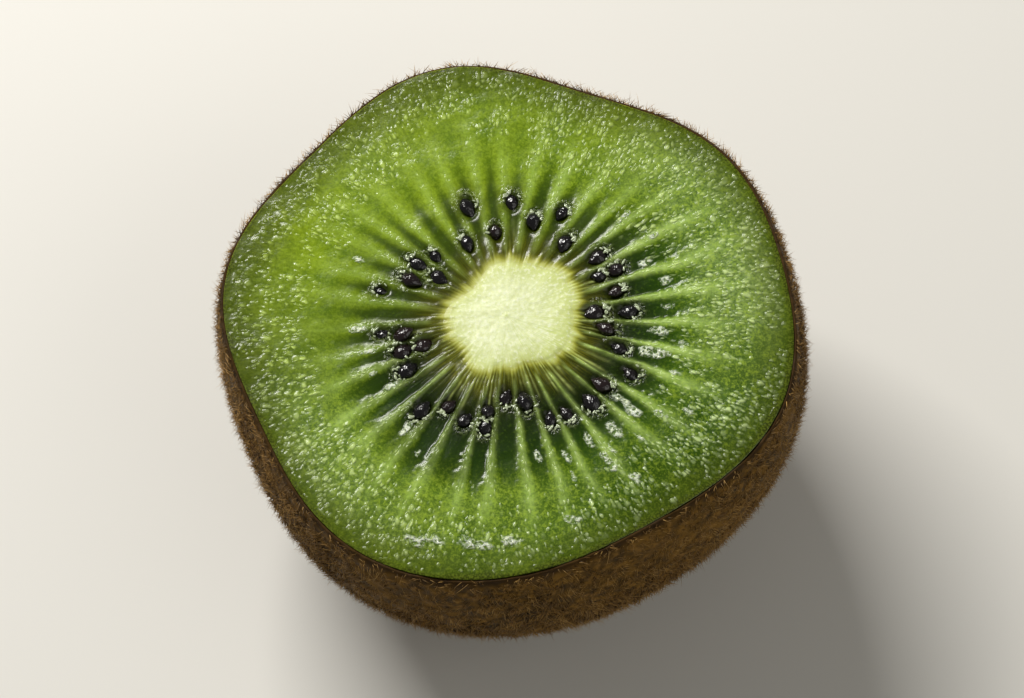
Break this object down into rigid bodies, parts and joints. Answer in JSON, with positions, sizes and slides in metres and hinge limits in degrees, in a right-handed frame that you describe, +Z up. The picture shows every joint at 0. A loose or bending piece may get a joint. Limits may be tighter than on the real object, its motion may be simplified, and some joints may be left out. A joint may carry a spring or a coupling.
{
  "type": "kiwi fruit half",
  "caption": "Half of a ripe kiwi fruit, cut across and resting on its stem end: fuzzy brown peel, green flesh, a ring of dark seeds and a pale core.",
  "frame": {"origin": "on the surface that the fruit rests on, under the middle of its outline", "axes": "+Z up, out of the cut face; +X to the right and +Y away as the cut face is looked down on"},
  "size_m": [0.0524, 0.0522, 0.0312],
  "materials": {
    "green_flesh": "satin",
    "seed_ring_flesh": "satin",
    "core_flesh": "satin",
    "peel": "matte",
    "fuzz": "matte",
    "seed_coat": "gloss",
    "stalk_scar": "matte"
  },
  "bodies": {
    "root": {"outer_flesh": "green_flesh", "seed_ring": "seed_ring_flesh", "core": "core_flesh"}
  },
  "joints": []
}
